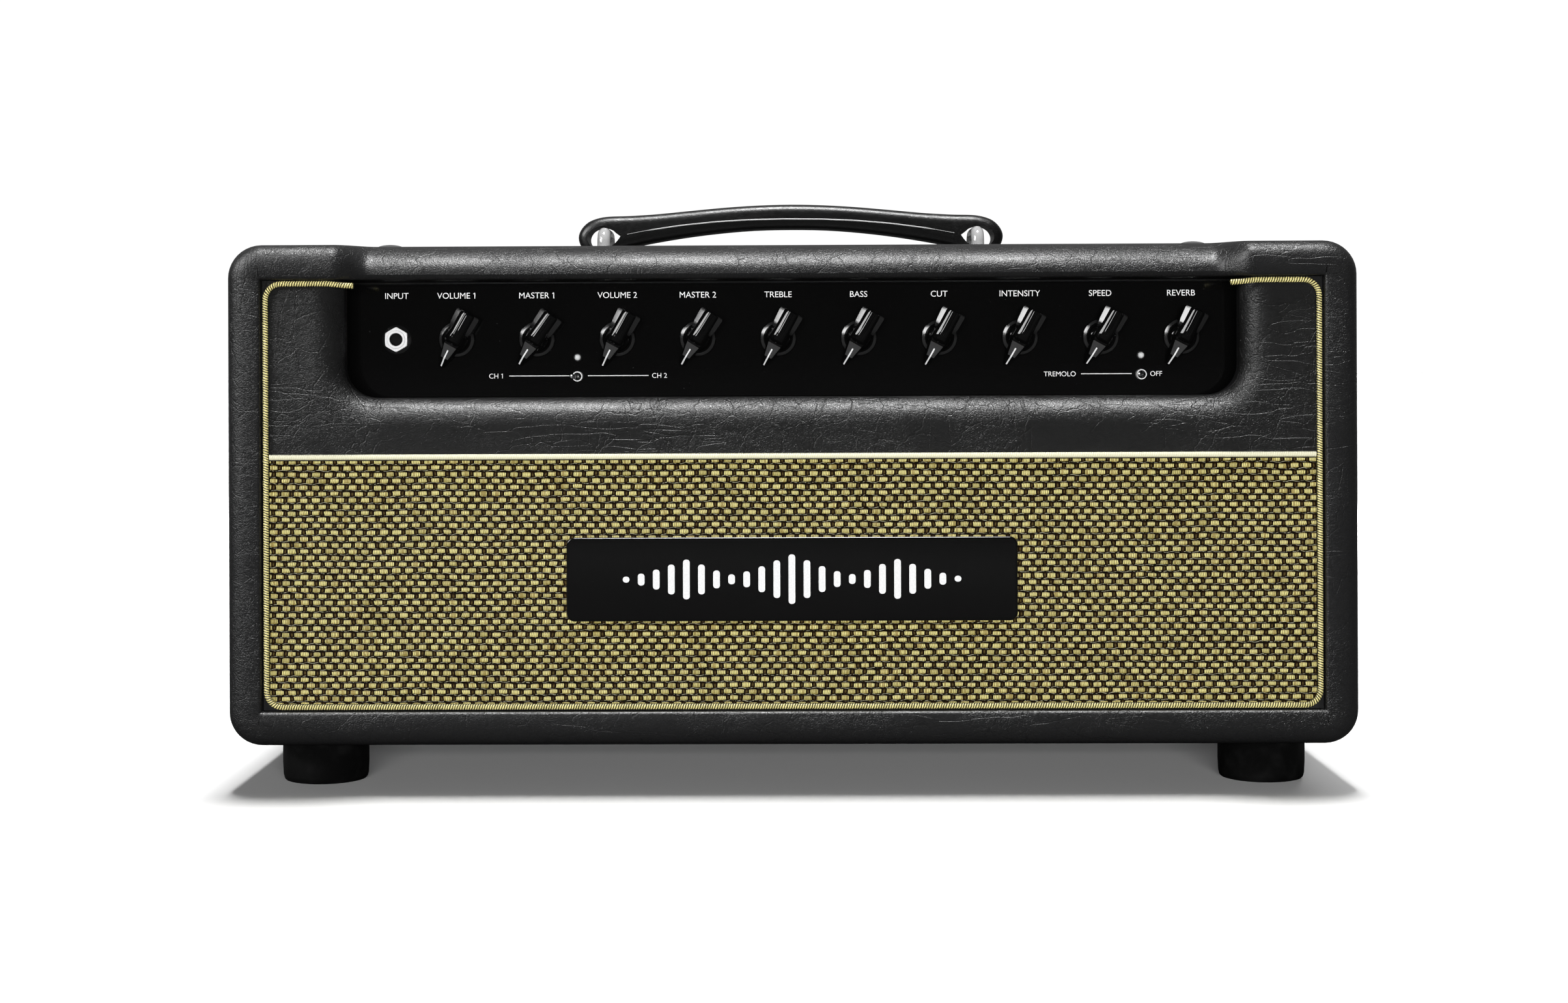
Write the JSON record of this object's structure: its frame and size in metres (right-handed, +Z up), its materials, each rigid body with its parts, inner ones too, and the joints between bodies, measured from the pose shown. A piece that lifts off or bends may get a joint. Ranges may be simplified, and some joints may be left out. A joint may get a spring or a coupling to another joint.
{
  "type": "guitar amplifier head",
  "caption": "Vinyl-covered amplifier head with a recessed control panel, pointer knobs, woven grille, strap handle and rubber feet.",
  "frame": {"origin": "on the floor, under the middle of the cabinet", "axes": "+Z up; the controls face -Y; +X is to the right of someone who looks at the controls"},
  "size_m": [0.5716, 0.248, 0.3034],
  "materials": {
    "vinyl": "black leather-grain vinyl, glued over board",
    "grille": "woven basket cloth, gold, brown and black",
    "piping": "gold corded piping",
    "plate": "gloss black",
    "knob": "moulded gloss black, white pointer line",
    "steel": "zinc-plated sheet",
    "circuit": "printed circuit board with its soldered controls",
    "chrome": "polished chrome",
    "plastic": "moulded black",
    "lens": "clear grey lamp, unlit",
    "strap": "black leather-grain strap with a steel core",
    "rubber": "moulded black rubber",
    "transformer": "black enamel",
    "glass": "clear glass"
  },
  "bodies": {
    "case": {"cabinet_shell": "vinyl", "front_baffle": "vinyl", "back_panel": "vinyl", "grille_cloth": "grille", "piping_outer": "piping", "piping_divider": "piping", "badge_plate": "plate", "control_panel": "plate", "chassis": "steel", "pot_board": "circuit", "input_jack_nut": "chrome", "toggle_body_channel": "chrome", "toggle_body_tremolo": "chrome", "handle_bracket_left": "chrome", "handle_bracket_right": "chrome", "chassis_bolt_front_left": "chrome", "chassis_bolt_front_right": "chrome", "chassis_bolt_rear_left": "chrome", "chassis_bolt_rear_right": "chrome", "input_jack_body": "plastic", "mains_inlet": "plastic", "switch_housing": "plastic", "speaker_jack": "plastic", "led_channel": "lens", "led_tremolo": "lens", "foot_front_left": "rubber", "foot_front_right": "rubber", "foot_rear_left": "rubber", "foot_rear_right": "rubber", "power_transformer": "transformer", "output_transformer": "transformer", "power_tube_left": "glass", "power_tube_right": "glass", "preamp_tube_left": "glass", "preamp_tube_right": "glass"},
    "control_volume_1": {"knob_volume_1": "knob", "shaft_volume_1": "steel"},
    "control_master_1": {"knob_master_1": "knob", "shaft_master_1": "steel"},
    "control_volume_2": {"knob_volume_2": "knob", "shaft_volume_2": "steel"},
    "control_master_2": {"knob_master_2": "knob", "shaft_master_2": "steel"},
    "control_treble": {"knob_treble": "knob", "shaft_treble": "steel"},
    "control_bass": {"knob_bass": "knob", "shaft_bass": "steel"},
    "control_cut": {"knob_cut": "knob", "shaft_cut": "steel"},
    "control_intensity": {"knob_intensity": "knob", "shaft_intensity": "steel"},
    "control_speed": {"knob_speed": "knob", "shaft_speed": "steel"},
    "control_reverb": {"knob_reverb": "knob", "shaft_reverb": "steel"},
    "switch_channel": {"toggle_lever_channel": "chrome"},
    "switch_tremolo": {"toggle_lever_tremolo": "chrome"},
    "standby_switch": {"standby_rocker": "knob"},
    "power_switch": {"power_rocker": "knob"},
    "handle": {"handle_strap": "strap"}
  },
  "joints": [
    {"name": "turn_volume_1", "type": "hinge", "parent": "case", "child": "control_volume_1", "pos_m": [-0.1736, -0.084, 0.229], "axis": [0, 1, 0], "range_deg": [0, 300]},
    {"name": "turn_master_1", "type": "hinge", "parent": "case", "child": "control_master_1", "pos_m": [-0.13185, -0.084, 0.229], "axis": [0, 1, 0], "range_deg": [0, 300]},
    {"name": "turn_volume_2", "type": "hinge", "parent": "case", "child": "control_volume_2", "pos_m": [-0.0901, -0.084, 0.229], "axis": [0, 1, 0], "range_deg": [0, 300]},
    {"name": "turn_master_2", "type": "hinge", "parent": "case", "child": "control_master_2", "pos_m": [-0.04835, -0.084, 0.229], "axis": [0, 1, 0], "range_deg": [0, 300]},
    {"name": "turn_treble", "type": "hinge", "parent": "case", "child": "control_treble", "pos_m": [-0.0066, -0.084, 0.229], "axis": [0, 1, 0], "range_deg": [0, 300]},
    {"name": "turn_bass", "type": "hinge", "parent": "case", "child": "control_bass", "pos_m": [0.03515, -0.084, 0.229], "axis": [0, 1, 0], "range_deg": [0, 300]},
    {"name": "turn_cut", "type": "hinge", "parent": "case", "child": "control_cut", "pos_m": [0.0769, -0.084, 0.229], "axis": [0, 1, 0], "range_deg": [0, 300]},
    {"name": "turn_intensity", "type": "hinge", "parent": "case", "child": "control_intensity", "pos_m": [0.11865, -0.084, 0.229], "axis": [0, 1, 0], "range_deg": [0, 300]},
    {"name": "turn_speed", "type": "hinge", "parent": "case", "child": "control_speed", "pos_m": [0.1604, -0.084, 0.229], "axis": [0, 1, 0], "range_deg": [0, 300]},
    {"name": "turn_reverb", "type": "hinge", "parent": "case", "child": "control_reverb", "pos_m": [0.20215, -0.084, 0.229], "axis": [0, 1, 0], "range_deg": [0, 300]},
    {"name": "flip_channel", "type": "hinge", "parent": "case", "child": "switch_channel", "pos_m": [-0.1109, -0.0864, 0.2095], "axis": [0, 0, 1], "range_deg": [0, 24]},
    {"name": "flip_tremolo", "type": "hinge", "parent": "case", "child": "switch_tremolo", "pos_m": [0.1813, -0.0864, 0.2095], "axis": [0, 0, 1], "range_deg": [0, 24]},
    {"name": "rock_standby", "type": "hinge", "parent": "case", "child": "standby_switch", "pos_m": [-0.1388, 0.1045, 0.228], "axis": [-1, 0, 0], "range_deg": [0, 16]},
    {"name": "rock_power", "type": "hinge", "parent": "case", "child": "power_switch", "pos_m": [-0.1172, 0.1045, 0.228], "axis": [-1, 0, 0], "range_deg": [0, 16]},
    {"name": "lift_handle", "type": "slide", "parent": "case", "child": "handle", "axis": [0, 0, 1], "range_m": [0, 0.002]}
  ]
}
